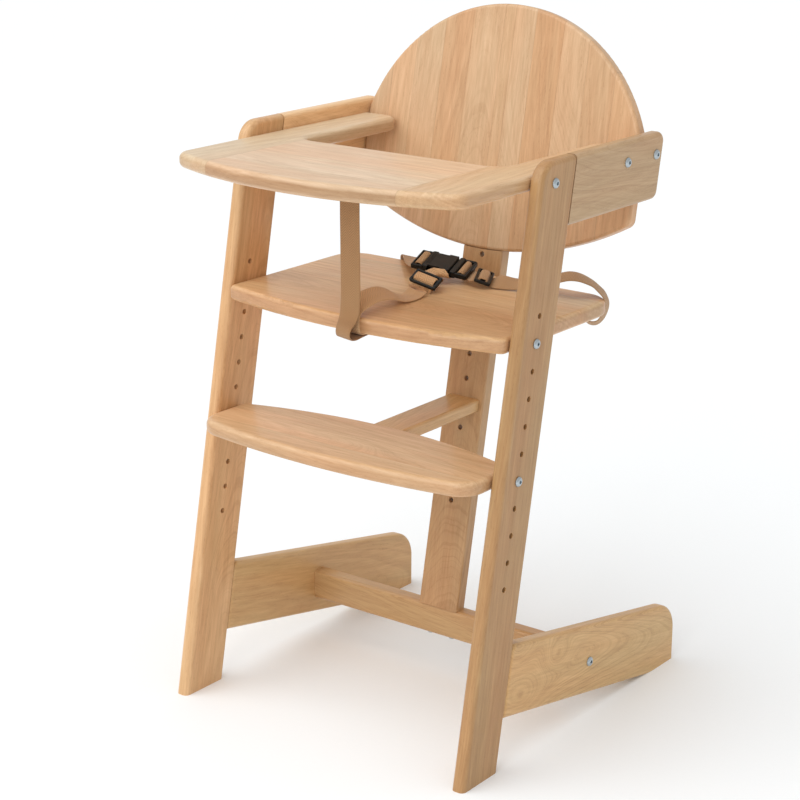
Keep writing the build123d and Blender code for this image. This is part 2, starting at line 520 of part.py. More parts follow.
# crotch strap: under the same screw, it hugs the seat's front edge and runs back over the seat in a low arch to its adjuster
crotch_line = [(116, SEAT_LOW - 1.1), (74, SEAT_LOW - 1.1), (70.2, SEAT_LOW - 0.7), (67.5, SEAT_LOW + 0.9), (65.8, SEAT_LOW + 4.2), (65.7, SEAT_TOP - 5), (67.0, SEAT_TOP), (72, SEAT_TOP + 7), (80, SEAT_TOP + 12.5),
               (94, SEAT_TOP + 16.3), (111, SEAT_TOP + 18), (129, SEAT_TOP + 16.5), (148, SEAT_TOP + 10), (160, SEAT_TOP + 4.5), (171, SEAT_TOP + 2.3), (188, SEAT_TOP + 2.3), (204, SEAT_TOP + 7)]
with BuildPart() as crotch_strap:
    with BuildSketch(side(STRAP_X - WEB_W / 2)):
        with BuildLine():
            Polyline(*band(crotch_line), close=True)
        make_face()
    extrude(amount=WEB_W)
    with Locations((STRAP_X, 104 - DEPTH_MID, SEAT_LOW)):
        Cylinder(2.4, 8, mode=Mode.SUBTRACT)

# the buckle lies tilted on the seat; its length runs left and forward-down, its face looks up and forwards
BUCKLE = Plane(origin=(-10.0, 281.6 - DEPTH_MID, 541.0), x_dir=(0.972, 0.212, -0.113), z_dir=(0.1656, -0.2529, 0.9532))
BUCKLE_W, BUCKLE_T, BUCKLE_L = 38.0, 11.0, 74.0
with BuildPart() as buckle_female:
    with BuildSketch(BUCKLE.offset(-BUCKLE_T / 2)) as shell_outline:
        with Locations((-8, 0)):
            Rectangle(40, BUCKLE_W)
        fillet(shell_outline.vertices(), radius=3)
    extrude(amount=BUCKLE_T)
    fillet([e for e in buckle_female.edges() if e.length > 20], radius=2.5)
    # the bar that the webbing loops round
    with BuildSketch(BUCKLE.offset(-3)):
        with Locations((-31.5, 0)):
            RectangleRounded(11, BUCKLE_W, 3)
        with Locations((-30, 0)):
            Rectangle(5, WEB_W + 1.5, mode=Mode.SUBTRACT)
    extrude(amount=6)
    # socket for the male half, and the two side windows its buttons spring into
    with BuildSketch(BUCKLE.offset(-3.3)):
        with Locations((-4, 0)):
            Rectangle(34, 27)
    extrude(amount=6.6, mode=Mode.SUBTRACT)
    with BuildSketch(BUCKLE.offset(-BUCKLE_T)):
        with Locations((-9, BUCKLE_W / 2), (-9, -BUCKLE_W / 2)):
            Rectangle(17, 12)
    extrude(amount=2 * BUCKLE_T, mode=Mode.SUBTRACT)

with BuildPart() as buckle_male:
    # shoulder and webbing bar
    with BuildSketch(BUCKLE.offset(-4)) as male_outline:
        with Locations((24.5, 0)):
            RectangleRounded(23, BUCKLE_W, 4)
        with Locations((27.5, 0)):
            Rectangle(10, WEB_W + 1.0, mode=Mode.SUBTRACT)
    extrude(amount=8)
    # centre guide tongue and the two springy prongs with their side buttons
    with BuildSketch(BUCKLE.offset(-2.6)):
        with Locations((1.5, 0)):
            Rectangle(26, 5)
        with Locations((5.5, 10.4), (5.5, -10.4)):
            Rectangle(18, 3.4)
        with Locations((-8.5, 10.9), (-8.5, -10.9)):
            Rectangle(12, 4.8)
    extrude(amount=5.2)

# slide adjusters: three-bar frames that the webbing doubles back through
WAIST_SLIDE = Plane(origin=(46.8, 284.6 - DEPTH_MID, 533.7), x_dir=(0.84, 0.45, -0.30), z_dir=(0.334, 0.004, 0.941))
CROTCH_SLIDE = Plane(origin=(6.0, 219.0 - DEPTH_MID, 538.0), x_dir=(0.93, 0.30, -0.20), z_dir=(0.33, -0.55, 0.77))
with BuildPart() as waist_adjuster:
    with BuildSketch(WAIST_SLIDE.offset(-2)):
        RectangleRounded(21, 38, 3)
        with Locations((-5, 0), (5, 0)):
            Rectangle(5.2, WEB_W + 1.2, mode=Mode.SUBTRACT)
    extrude(amount=4)
with BuildPart() as crotch_adjuster:
    with BuildSketch(CROTCH_SLIDE.offset(-2)):
        RectangleRounded(38, 21, 3)
        with Locations((0, -5), (0, 5)):
            Rectangle(WEB_W + 1.2, 5.2, mode=Mode.SUBTRACT)
    extrude(amount=4)

# left waist strap: screwed under the seat, round its rounded rear corner, up in an arch and in to the adjuster; its line is measured from the adjuster,
# in an upright plane turned a little to the rear
left_line = [(72, SEAT_LOW - 1.4), (104, SEAT_LOW - 1.4), (122, SEAT_LOW - 3.0), (135, SEAT_LOW - 9), (144, SEAT_LOW - 3), (147.5, SEAT_Z), (146, SEAT_TOP + 4), (137, SEAT_TOP + 12),
             (118, SEAT_TOP + 22), (98, SEAT_TOP + 25), (70, SEAT_TOP + 20), (42, SEAT_TOP + 9), (20, SEAT_TOP + 4.5), (2, SEAT_TOP + 8)]
LEFT_TURN = (0.955, 0.2966)
LEFT_SCREW = (149.86, 316.29)
with BuildPart() as waist_strap_left:
    with BuildSketch(Plane(origin=(62 - LEFT_TURN[1] * WEB_W / 2, 289 + LEFT_TURN[0] * WEB_W / 2 - DEPTH_MID, 0), x_dir=(LEFT_TURN[0], LEFT_TURN[1], 0), z_dir=(LEFT_TURN[1], -LEFT_TURN[0], 0))):
        with BuildLine():
            Polyline(*band(left_line), close=True)
        make_face()
    extrude(amount=WEB_W)
    with Locations((LEFT_SCREW[0], LEFT_SCREW[1] - DEPTH_MID, SEAT_LOW)):
        Cylinder(2.4, 8, mode=Mode.SUBTRACT)

# right waist strap: from the female half out over the seat, folded back over the seat's rear edge and under it
RIGHT_X = -113.0
out_line = [(-51.5, 544.5), (-66, 538), (-88, SEAT_TOP + 5), (-100, SEAT_TOP + 3.2), (RIGHT_X - WEB_W / 2, SEAT_TOP + 3.2)]
back_line = [(262, SEAT_TOP + 3.2), (332, SEAT_TOP + 3.2), (339, SEAT_TOP + 0.5), (341.2, SEAT_TOP - 5), (341.2, SEAT_LOW + 5), (339, SEAT_LOW), (332, SEAT_LOW - 1.6), (288, SEAT_LOW - 1.6)]
with BuildPart() as waist_strap_right:
    with BuildSketch(Plane(origin=(0, 292 - DEPTH_MID, 0), x_dir=(1, 0, 0), z_dir=(0, -1, 0))):
        with BuildLine():
            Polyline(*band(out_line), close=True)
        make_face()
    extrude(amount=WEB_W)
    with BuildSketch(side(RIGHT_X - WEB_W / 2)):
        with BuildLine():
            Polyline(*band(back_line), close=True)
        make_face()
    extrude(amount=WEB_W)
    with Locations((RIGHT_X, 303 - DEPTH_MID, SEAT_LOW)):
        Cylinder(2.4, 8, mode=Mode.SUBTRACT)

with BuildPart() as strap_screws:
    with Locations(*[Plane(origin=(x, y - DEPTH_MID, SEAT_LOW - drop), z_dir=(0, 0, -1)).location for x, y, drop in ((*LEFT_SCREW, 2.6), (RIGHT_X, 303, 2.6), (STRAP_X, 104, 4.0))]):
        add(button_bolt(14, head_r=5.5, head_h=2.2, shank_r=1.75))
with BuildPart() as tray_strap_screw:
    with Locations(Plane(origin=(STRAP_X, 84 - DEPTH_MID, TRAY_LOW - 2.6), z_dir=(0, 0, -1)).location):
        add(button_bolt(14, head_r=5.5, head_h=2.2, shank_r=1.75))

# ================= one file per piece =================
pieces = {
    "leg_left": leg_left, "leg_right": leg_right,
    "runner_left": runner_left, "runner_right": runner_right,
    "rail_left": rail_left, "rail_right": rail_right,
    "stretcher": stretcher, "rear_post": rear_post, "backrest": backrest,
    "tray_panel": tray_panel, "tray_arm_left": tray_arm_left, "tray_arm_right": tray_arm_right,
    "seat": seat, "footrest": footrest, "footrest_strut": footrest_strut,
    "frame_dowels": frame_dowels, "backrest_dowels": backrest_dowels, "tray_dowels": tray_dowels_part, "strut_dowels": strut_dowels,
    "tray_bolts": tray_bolts, "tray_inserts": tray_inserts,
    "backrest_bolts": backrest_bolts, "backrest_inserts": backrest_inserts,
    "stretcher_bolts": stretcher_bolts, "stretcher_inserts": stretcher_inserts,
    "footrest_bolts": footrest_bolts, "footrest_inserts": footrest_inserts,
    "seat_bolts": seat_bolts, "seat_inserts": seat_inserts,
    "post_screws": post_screws, "strap_screws": strap_screws, "tray_strap_screw": tray_strap_screw,
    "tray_strap": tray_strap, "crotch_strap": crotch_strap, "waist_strap_left": waist_strap_left, "waist_strap_right": waist_strap_right,
    "buckle_female": buckle_female, "buckle_male": buckle_male,
    "waist_adjuster": waist_adjuster, "crotch_adjuster": crotch_adjuster,
}
for label, piece in pieces.items():
    piece.part.label = label
    export_step(piece.part, f"parts/{label}.step")
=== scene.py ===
import math

import bmesh
import bpy
import numpy as np
from mathutils import Matrix, Vector


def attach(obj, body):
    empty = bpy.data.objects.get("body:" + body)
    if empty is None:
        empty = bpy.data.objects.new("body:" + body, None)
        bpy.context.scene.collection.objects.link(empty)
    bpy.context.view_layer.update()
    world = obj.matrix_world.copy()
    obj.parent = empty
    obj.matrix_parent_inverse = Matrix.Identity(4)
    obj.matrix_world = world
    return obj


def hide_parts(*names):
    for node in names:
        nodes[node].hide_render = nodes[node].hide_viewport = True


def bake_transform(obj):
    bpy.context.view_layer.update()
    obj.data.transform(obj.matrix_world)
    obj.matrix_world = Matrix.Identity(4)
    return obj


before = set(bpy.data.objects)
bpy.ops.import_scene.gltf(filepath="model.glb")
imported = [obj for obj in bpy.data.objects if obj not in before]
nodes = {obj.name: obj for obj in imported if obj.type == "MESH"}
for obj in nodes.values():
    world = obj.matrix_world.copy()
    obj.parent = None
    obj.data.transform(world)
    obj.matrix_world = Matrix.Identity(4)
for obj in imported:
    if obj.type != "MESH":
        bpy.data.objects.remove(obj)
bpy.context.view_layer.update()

# Wooden baby high chair. The boards, bolts and dowels are the CAD's; the webbing, buckle and adjusters are built here in more detail.
# Lengths in the tables below are millimetres, with depth measured from the front foot of the legs; P() turns them into the row frame.

scene = bpy.context.scene
DEPTH_MID = 223.0
S11, C11 = math.sin(math.radians(11)), math.cos(math.radians(11))
LEAN, SQUARE = (0.0, S11, C11), (0.0, C11, -S11)
X, Y, Z = (1.0, 0.0, 0.0), (0.0, 1.0, 0.0), (0.0, 0.0, 1.0)


def P(x, y, z):
    return Vector((x / 1000, (y - DEPTH_MID) / 1000, z / 1000))


# ---------------------------------------------------------------- camera
def make_camera():
    az, el, roll, dist = math.radians(36.83), math.radians(17.28), math.radians(0.29), 2.57569
    target = P(0.24, 174.69, 393.03)
    back = Vector((math.sin(az) * math.cos(el), -math.cos(az) * math.cos(el), math.sin(el)))
    right = (-back).cross(Vector(Z)).normalized()
    up = right.cross(-back)
    r2 = math.cos(roll) * right + math.sin(roll) * up
    u2 = -math.sin(roll) * right + math.cos(roll) * up
    data = bpy.data.cameras.new("camera")
    data.sensor_width, data.lens = 36.0, 2097.98 / 800 * 36
    data.clip_start, data.clip_end = 0.05, 100
    cam = bpy.data.objects.new("camera", data)
    m = Matrix((r2, u2, back)).transposed().to_4x4()
    m.translation = target + back * dist
    cam.matrix_world = m
    scene.collection.objects.link(cam)
    scene.camera = cam


make_camera()


# ---------------------------------------------------------------- node building
class Net:
    """One material's node tree, with short calls for the nodes it is made of."""

    def __init__(self, name):
        self.mat = bpy.data.materials.new(name)
        self.mat.use_nodes = True
        self.tree = self.mat.node_tree
        self.tree.nodes.clear()
        out = self.tree.nodes.new("ShaderNodeOutputMaterial")
        self.bsdf = self.tree.nodes.new("ShaderNodeBsdfPrincipled")
        self.tree.links.new(self.bsdf.outputs[0], out.inputs[0])

    def put(self, socket, value):
        if value is None:
            return
        if isinstance(value, bpy.types.NodeSocket):
            self.tree.links.new(value, socket)
        elif isinstance(value, (int, float)) and socket.type in ("RGBA", "VECTOR"):
            socket.default_value = (value,) * 3 + ((1,) if socket.type == "RGBA" else ())
        elif socket.type == "RGBA":
            socket.default_value = tuple(value)[:3] + (1,)
        else:
            socket.default_value = value

    def math(self, op, a, b=None, c=None, clamp=False):
        n = self.tree.nodes.new("ShaderNodeMath")
        n.operation, n.use_clamp = op, clamp
        for i, v in enumerate((a, b, c)):
            self.put(n.inputs[i], v)
        return n.outputs[0]

    def vmath(self, op, a, b=None):
        n = self.tree.nodes.new("ShaderNodeVectorMath")
        n.operation = op
        self.put(n.inputs[0], a)
        self.put(n.inputs[1], b)
        return n.outputs["Value"] if op in ("DOT_PRODUCT", "LENGTH", "DISTANCE") else n.outputs[0]

    def xyz(self, x, y, z):
        n = self.tree.nodes.new("ShaderNodeCombineXYZ")
        for i, v in enumerate((x, y, z)):
            self.put(n.inputs[i], v)
        return n.outputs[0]

    def split(self, v):
        n = self.tree.nodes.new("ShaderNodeSeparateXYZ")
        self.put(n.inputs[0], v)
        return n.outputs

    def noise(self, vector, scale=1.0, detail=2.0, rough=0.5, dims="3D", w=None, distortion=0.0):
        n = self.tree.nodes.new("ShaderNodeTexNoise")
        n.noise_dimensions = dims
        if dims != "1D":
            self.put(n.inputs["Vector"], vector)
        if w is not None:
            self.put(n.inputs["W"], w)
        n.inputs["Scale"].default_value = scale
        n.inputs["Detail"].default_value = detail
        n.inputs["Roughness"].default_value = rough
        n.inputs["Distortion"].default_value = distortion
        return n.outputs[0]

    def voronoi(self, vector, scale=1.0, feature="F1"):
        n = self.tree.nodes.new("ShaderNodeTexVoronoi")
        n.feature = feature
        self.put(n.inputs["Vector"], vector)
        n.inputs["Scale"].default_value = scale
        return n.outputs[0]

    def ramp(self, fac, stops, interp="LINEAR"):
        n = self.tree.nodes.new("ShaderNodeValToRGB")
        n.color_ramp.interpolation = interp
        el = n.color_ramp.elements
        while len(el) < len(stops):
            el.new(0.5)
        for e, (pos, col) in zip(el, stops):
            e.position = pos
        for e, (pos, col) in zip(el, sorted(stops, key=lambda q: q[0])):
            e.position = pos
            e.color = (col,) * 3 + (1,) if isinstance(col, (int, float)) else tuple(col) + (1,)
        self.put(n.inputs[0], fac)
        return n.outputs[0]

    def mix(self, fac, a, b, blend="MIX"):
        n = self.tree.nodes.new("ShaderNodeMix")
        n.data_type, n.blend_type = "RGBA", blend
        self.put(n.inputs[0], fac)
        self.put(n.inputs[6], a)
        self.put(n.inputs[7], b)
        return n.outputs[2]

    def step(self, value, lo, hi, out_lo=0.0, out_hi=1.0):
        n = self.tree.nodes.new("ShaderNodeMapRange")
        n.interpolation_type = "SMOOTHSTEP"
        for i, v in enumerate((value, lo, hi, out_lo, out_hi)):
            self.put(n.inputs[i], v)
        return n.outputs[0]

    def coords(self, kind="Object"):
        return self.tree.nodes.new("ShaderNodeTexCoord").outputs[kind]

    def bump(self, height, strength, distance):
        n = self.tree.nodes.new("ShaderNodeBump")
        n.inputs["Strength"].default_value = strength
        n.inputs["Distance"].default_value = distance
        self.put(n.inputs["Height"], height)
        self.put(self.bsdf.inputs["Normal"], n.outputs[0])

    def set(self, **kw):
        for k, v in kw.items():
            self.put(self.bsdf.inputs[k.replace("_", " ")], v)


# ---------------------------------------------------------------- wood
def wood(name, grain, across, thick, tone, seed, staves=None, knots=(), pith=(0.02, 0.09), taper=0.06, wob=0.010,
         lines=0.14, streak=0.07, bands=0.10, seams=(), seam_dark=0.5, edge_shade_tint=None, ring=330.0):
    """Lacquered rubberwood cut from the solid: growth rings about a pith outside the board, fibre streaks along the grain, short pores, and glued staves where the board has them.
    grain, across and thick are the board's own directions; staves = [(edge_mm, brightness, warmth), ...] along `across`; knots = (along, across, reach_along, reach_across, strength) in metres;
    seams = (direction, offset_m) of the butt joints that show as a fine dark line."""
    n = Net(name)
    pos = n.coords()
    g, a, t = (n.vmath("DOT_PRODUCT", pos, d) for d in (grain, across, thick))
    stave_tone = None
    if staves:
        lo, hi = staves[0][0] / 1000 - 0.001, staves[-1][0] / 1000 + 0.05
        fac = n.math("DIVIDE", n.math("SUBTRACT", a, lo), hi - lo)
        stops, offs, k = [], [], 0
        for i, (edge, bright, warm) in enumerate(staves):
            p = 0.0 if i == 0 else (edge / 1000 - lo) / (hi - lo)
            stops.append((p, (bright * (1 + 0.02 * warm), bright * (1 - 0.03 * warm), bright * (1 - 0.08 * warm))))
            offs.append((p, (0.13 + 0.37 * i) % 1.0))
        stave_tone = n.ramp(fac, stops, "CONSTANT")
        shift = n.math("MULTIPLY", n.ramp(fac, offs, "CONSTANT"), 7.0)
        g = n.math("ADD", g, shift)
        a2 = n.math("ADD", a, n.math("MULTIPLY", shift, 0.013))
    else:
        a2 = a
    low = n.noise(n.xyz(n.math("MULTIPLY", g, 2.2), n.math("MULTIPLY", a2, 7.0), n.math("MULTIPLY", t, 7.0)), 1.0, 2.0, 0.5, "4D", w=seed * 3.7)
    mid = n.noise(n.xyz(n.math("MULTIPLY", g, 9.0), n.math("MULTIPLY", a2, 30.0), n.math("MULTIPLY", t, 30.0)), 1.0, 1.0, 0.5, "4D", w=seed * 1.3 + 5)
    wobble = n.math("ADD", n.math("MULTIPLY", n.math("SUBTRACT", low, 0.5), wob * 2), n.math("MULTIPLY", n.math("SUBTRACT", mid, 0.5), wob * 0.25))
    da = n.math("SUBTRACT", n.math("ADD", a2, wobble), pith[0])
    dt = n.math("SUBTRACT", t, pith[1])
    r = n.math("SQRT", n.math("ADD", n.math("MULTIPLY", da, da), n.math("MULTIPLY", dt, dt)))
    r = n.math("ADD", r, n.math("MULTIPLY", g, taper))
    r = n.math("ADD", r, wobble)
    dark_knot = None
    for kg, ka, sg, sa, strength in knots:
        u = n.math("DIVIDE", n.math("SUBTRACT", g, kg), sg)
        v = n.math("DIVIDE", n.math("SUBTRACT", a, ka), sa)
        d2 = n.math("ADD", n.math("MULTIPLY", u, u), n.math("MULTIPLY", v, v))
        r = n.math("ADD", r, n.math("MULTIPLY", n.math("POWER", math.e, n.math("MULTIPLY", d2, -1.0)), strength))
        spot = n.math("MULTIPLY", n.math("POWER", math.e, n.math("MULTIPLY", d2, -30.0)), 0.2)
        dark_knot = spot if dark_knot is None else n.math("ADD", dark_knot, spot)
    rings = n.noise(None, 1.0, 2.0, 0.55, "1D", w=n.math("MULTIPLY_ADD", r, ring, seed))
    fine_rings = n.noise(None, 1.0, 1.0, 0.5, "1D", w=n.math("MULTIPLY_ADD", r, ring * 3.1, seed * 2.0))
    # thin late-wood lines where the fine noise crosses its middle
    edge = n.math("ABSOLUTE", n.math("SUBTRACT", fine_rings, 0.5))
    line = n.math("MULTIPLY", n.step(edge, 0.0, 0.055, 1.0, 0.0), n.step(low, 0.35, 0.62))
    broad = n.noise(n.xyz(n.math("MULTIPLY", g, 5.0), n.math("MULTIPLY", a2, 130.0), n.math("MULTIPLY", t, 130.0)), 1.0, 2.0, 0.6, "4D", w=seed)
    fleck = n.noise(n.xyz(n.math("MULTIPLY", g, 26.0), n.math("MULTIPLY", a2, 330.0), n.math("MULTIPLY", t, 330.0)), 1.0, 2.0, 0.6, "4D", w=seed + 2)
    mottle = n.noise(n.xyz(n.math("MULTIPLY", g, 16.0), n.math("MULTIPLY", a2, 60.0), n.math("MULTIPLY", t, 60.0)), 1.0, 2.0, 0.55, "4D", w=seed + 4)
    fibre = n.noise(n.xyz(n.math("MULTIPLY", g, 40.0), n.math("MULTIPLY", a2, 1100.0), n.math("MULTIPLY", t, 1100.0)), 1.0, 2.0, 0.6)
    cell = n.voronoi(n.xyz(n.math("MULTIPLY", g, 95.0), n.math("MULTIPLY", a2, 1150.0), n.math("MULTIPLY", t, 1150.0)))
    pore = n.step(cell, 0.10, 0.26, 1.0, 0.0)
    pore = n.math("MULTIPLY", pore, n.step(rings, 0.40, 0.62))
    patch = n.noise(n.xyz(n.math("MULTIPLY", g, 3.0), n.math("MULTIPLY", a2, 22.0), n.math("MULTIPLY", t, 22.0)), 1.0, 2.0, 0.5, "4D", w=seed + 9)
    cr, cg, cb = tone
    warm = (cr * 1.03, cg * 0.965, cb * 0.93)
    pale = (cr * 0.985, cg * 1.035, cb * 1.06)
    col = n.mix(n.step(patch, 0.5 - 0.2, 0.5 + 0.2), pale, warm)
    shade = n.math("MULTIPLY_ADD", n.math("SUBTRACT", rings, 0.5), -bands * 2.2, 1.0)
    shade = n.math("MULTIPLY", shade, n.math("MULTIPLY_ADD", n.math("SUBTRACT", broad, 0.5), -streak * 2.6, 1.0))
    shade = n.math("MULTIPLY", shade, n.math("MULTIPLY_ADD", n.math("SUBTRACT", fleck, 0.5), -0.44, 1.0))
    shade = n.math("MULTIPLY", shade, n.math("MULTIPLY_ADD", n.math("SUBTRACT", mottle, 0.5), -0.16, 1.0))
    shade = n.math("MULTIPLY", shade, n.math("MULTIPLY_ADD", n.math("SUBTRACT", fibre, 0.5), -0.30, 1.0))
    shade = n.math("MULTIPLY", shade, n.math("MULTIPLY_ADD", line, -lines, 1.0))
    shade = n.math("MULTIPLY", shade, n.math("MULTIPLY_ADD", pore, -0.34, 1.0))
    if dark_knot is not None:
        shade = n.math("MULTIPLY", shade, n.math("SUBTRACT", 1.0, dark_knot))
    # darker parts of wood are also redder
    tint = n.xyz(n.math("POWER", shade, 0.8), n.math("POWER", shade, 1.1), n.math("POWER", shade, 1.45))
    col = n.mix(1.0, col, tint, "MULTIPLY")
    if edge_shade_tint:
        # painted shade: this tint darkens the side faces of a board, square to its thickness, and makes them pinker, as
        # if they took less light than its faces
        face = n.math("ABSOLUTE", n.vmath("DOT_PRODUCT", n.coords("Normal"), thick))
        col = n.mix(n.step(face, 0.15, 0.92, 1.0, 0.0), col, n.mix(1.0, col, edge_shade_tint, "MULTIPLY"))
    if stave_tone is not None:
        col = n.mix(1.0, col, stave_tone, "MULTIPLY")
        for edge_mm, _, _ in staves[1:]:
            d = n.math("ABSOLUTE", n.math("SUBTRACT", a, edge_mm / 1000))
            col = n.mix(n.step(d, 0.00015, 0.0006, 0.32, 0.0), col, (cr * 0.5, cg * 0.42, cb * 0.34))
    for direction, offset in seams:
        d = n.math("ABSOLUTE", n.math("SUBTRACT", n.vmath("DOT_PRODUCT", pos, direction), offset))
        col = n.mix(n.step(d, 0.0003, 0.0011, seam_dark, 0.0), col, (cr * 0.38, cg * 0.3, cb * 0.22))
    height = n.math("ADD", n.math("MULTIPLY", fibre, 0.35), n.math("MULTIPLY", pore, -0.8))
    n.set(Base_Color=col, Roughness=n.math("MULTIPLY_ADD", broad, 0.16, 0.34), Coat_Weight=0.22, Coat_Roughness=0.16, Specular_IOR_Level=0.40)
    n.bump(height, 0.22, 0.00025)
    return n.mat


def paint(node, mat):
    o = nodes[node]
    o.data.materials.clear()
    o.data.materials.append(mat)
    for p in o.data.polygons:
        p.material_index = 0


def row(y):
    return (y - DEPTH_MID) / 1000


JOINT_LEAN = (0.067 - DEPTH_MID / 1000 * C11)  # the leg's rear edge, square to the lean, from the row's origin
wood_list = {
    "leg_left": dict(grain=LEAN, across=SQUARE, thick=X, tone=(0.427, 0.237, 0.096), seed=1.0, pith=(-0.25, 0.30), taper=0.03, ring=420, lines=0.11, streak=0.170),
    "leg_right": dict(grain=LEAN, across=SQUARE, thick=X, tone=(0.657, 0.390, 0.187), seed=2.3, pith=(-0.16, -0.33), taper=0.04, ring=420, lines=0.11, streak=0.170),
    "runner_left": dict(grain=SQUARE, across=LEAN, thick=X, tone=(0.618, 0.379, 0.158), seed=3.1, pith=(0.09, 0.12), taper=0.05, wob=0.014, ring=300, lines=0.240,
                        knots=[(-0.138, 0.126, 0.030, 0.026, 0.016), (-0.120, 0.060, 0.036, 0.022, -0.020), (-0.045, 0.100, 0.035, 0.020, 0.010)], seams=[(SQUARE, JOINT_LEAN)]),
    "runner_right": dict(grain=SQUARE, across=LEAN, thick=X, tone=(0.577, 0.359, 0.158), seed=4.2, pith=(0.05, -0.12), taper=0.05, wob=0.014, ring=300, lines=0.14, seams=[(SQUARE, JOINT_LEAN)]),
    "rail_left": dict(grain=Y, across=Z, thick=X, tone=(0.483, 0.305, 0.156), seed=5.4, pith=(0.63, 0.11), taper=0.05, wob=0.016, ring=240, lines=0.10, streak=0.043, seams=[(SQUARE, JOINT_LEAN)]),
    # rail_right's tone is set well above rail_left's: partly the board's own tone, partly painted bounce light on its
    # inner face
    "rail_right": dict(grain=Y, across=Z, thick=X, tone=(0.845, 0.563, 0.304), seed=6.6, pith=(0.70, -0.15), taper=0.05, ring=280, lines=0.10, seams=[(SQUARE, JOINT_LEAN)]),
    "stretcher": dict(grain=X, across=Z, thick=Y, tone=(0.525, 0.305, 0.134), seed=7.1, pith=(0.0, 0.30), taper=0.05, ring=360, lines=0.200),
    "rear_post": dict(grain=LEAN, across=X, thick=SQUARE, tone=(0.485, 0.286, 0.134), seed=8.5, pith=(0.012, 0.16), taper=0.07, wob=0.012, ring=300, lines=0.13),
    "footrest_strut": dict(grain=Y, across=X, thick=Z, tone=(0.592, 0.371, 0.171), seed=9.9, pith=(-0.02, 0.28), taper=0.05, ring=360),
    "backrest": dict(grain=LEAN, across=X, thick=SQUARE, tone=(0.615, 0.388, 0.215), seed=10.4, pith=(0.03, 0.24), taper=0.05, wob=0.012, ring=330, lines=0.08, streak=0.093,
                     staves=[(-206, 1.03, -0.8), (-174, 1.07, -0.2), (-139, 1.05, -0.7), (-98, 0.95, 1.0), (-57, 1.01, 0.1), (-10, 0.98, 0.8), (6, 1.04, -0.5), (37, 0.92, 1.9), (79, 1.04, -0.2), (118, 0.95, 0.9), (160, 1.0, 1.2)],
                     knots=[(0.80, -0.008, 0.012, 0.006, 0.010)]),
    # edge_shade_tint darkens the side faces of the tray, seat and footrest boards: painted shade
    "tray_panel": dict(edge_shade_tint=(0.62, 0.53, 0.44), grain=X, across=Y, thick=Z, tone=(0.728, 0.505, 0.317), seed=11.2, pith=(row(40), 0.45), taper=0.04, ring=300, lines=0.06, streak=0.074,
                       staves=[(-262, 0.97, 0.4), (-209, 1.02, -0.5), (-157, 1.0, 0.3), (-100, 0.98, 0.2)], seams=[(X, 0.137), (X, -0.137)], seam_dark=0.22),
    "tray_arm_left": dict(edge_shade_tint=(0.8, 0.73, 0.66), grain=Y, across=X, thick=Z, tone=(0.673, 0.442, 0.247), seed=12.7, pith=(0.10, 0.50), taper=0.05, ring=330, lines=0.07, streak=0.074, seams=[(X, 0.137)], seam_dark=0.22),
    "tray_arm_right": dict(edge_shade_tint=(0.8, 0.73, 0.66), grain=Y, across=X, thick=Z, tone=(0.700, 0.503, 0.312), seed=13.9, pith=(-0.12, 0.50), taper=0.05, ring=330, lines=0.07, streak=0.074, seams=[(X, -0.137)], seam_dark=0.22),
    "seat": dict(edge_shade_tint=(0.70, 0.62, 0.59), grain=X, across=Y, thick=Z, tone=(0.743, 0.485, 0.258), seed=14.3, pith=(row(200), 0.33), taper=0.04, ring=330, lines=0.09, streak=0.120,
                 staves=[(-157, 1.0, 0.5), (-95, 0.98, 0.9), (-32, 1.03, 0.1), (36, 0.98, -0.3), (84, 1.02, 0.2)]),
    "footrest": dict(edge_shade_tint=(0.8, 0.73, 0.68), grain=X, across=Y, thick=Z, tone=(0.676, 0.441, 0.246), seed=15.8, pith=(row(100), 0.22), taper=0.04, ring=360, lines=0.09, streak=0.124,
                     staves=[(-211, 0.98, 0.4), (-172, 1.02, 0.0), (-128, 0.98, 0.3)]),
}
for name, spec in wood_list.items():
    paint(name, wood("wood_" + name, **spec))
for name, (grain, across, thick) in {"frame_dowels": (Y, Z, X), "backrest_dowels": (LEAN, X, SQUARE), "tray_dowels": (X, Y, Z), "strut_dowels": (Y, X, Z)}.items():
    paint(name, wood("wood_" + name, grain, across, thick, (0.66, 0.46, 0.29), 20.0 + len(name), ring=600))


# ---------------------------------------------------------------- metal, plastic, webbing
def metal(name, colour, rough, tint):
    n = Net(name)
    pos = n.coords()
    smear = n.noise(pos, 260.0, 3.0, 0.6)
    fine = n.noise(pos, 4200.0, 2.0, 0.6)
    col = n.mix(smear, colour, tint)
    n.set(Base_Color=col, Metallic=1.0, Roughness=n.math("MULTIPLY_ADD", smear, 0.16, rough))
    n.bump(fine, 0.08, 0.00005)
    return n.mat


steel = metal("zinc_steel", (0.52, 0.57, 0.60), 0.22, (0.38, 0.43, 0.46))
brass = metal("brass_insert", (0.76, 0.60, 0.30), 0.28, (0.60, 0.45, 0.22))
for node in ("tray_bolts", "backrest_bolts", "stretcher_bolts", "seat_bolts", "footrest_bolts", "post_screws", "strap_screws", "tray_strap_screw"):
    paint(node, steel)
for node in ("tray_inserts", "backrest_inserts", "stretcher_inserts", "seat_inserts", "footrest_inserts"):
    paint(node, brass)


def moulded(name):
    n = Net(name)
    pos = n.coords()
    grain = n.noise(pos, 3800.0, 3.0, 0.65)
    patch = n.noise(pos, 120.0, 2.0, 0.5)
    scuff = n.step(n.noise(n.vmath("MULTIPLY", pos, (900.0, 160.0, 400.0)), 1.0, 3.0, 0.6), 0.60, 0.78)
    col = n.mix(patch, (0.0060, 0.0064, 0.0062), (0.011, 0.0115, 0.0110))
    col = n.mix(n.math("MULTIPLY", scuff, 0.5), col, (0.028, 0.028, 0.027))
    n.set(Base_Color=col, Roughness=n.math("MULTIPLY_ADD", grain, 0.22, 0.26), Specular_IOR_Level=0.28)
    n.bump(grain, 0.18, 0.00008)
    return n.mat


black = moulded("moulded_black")


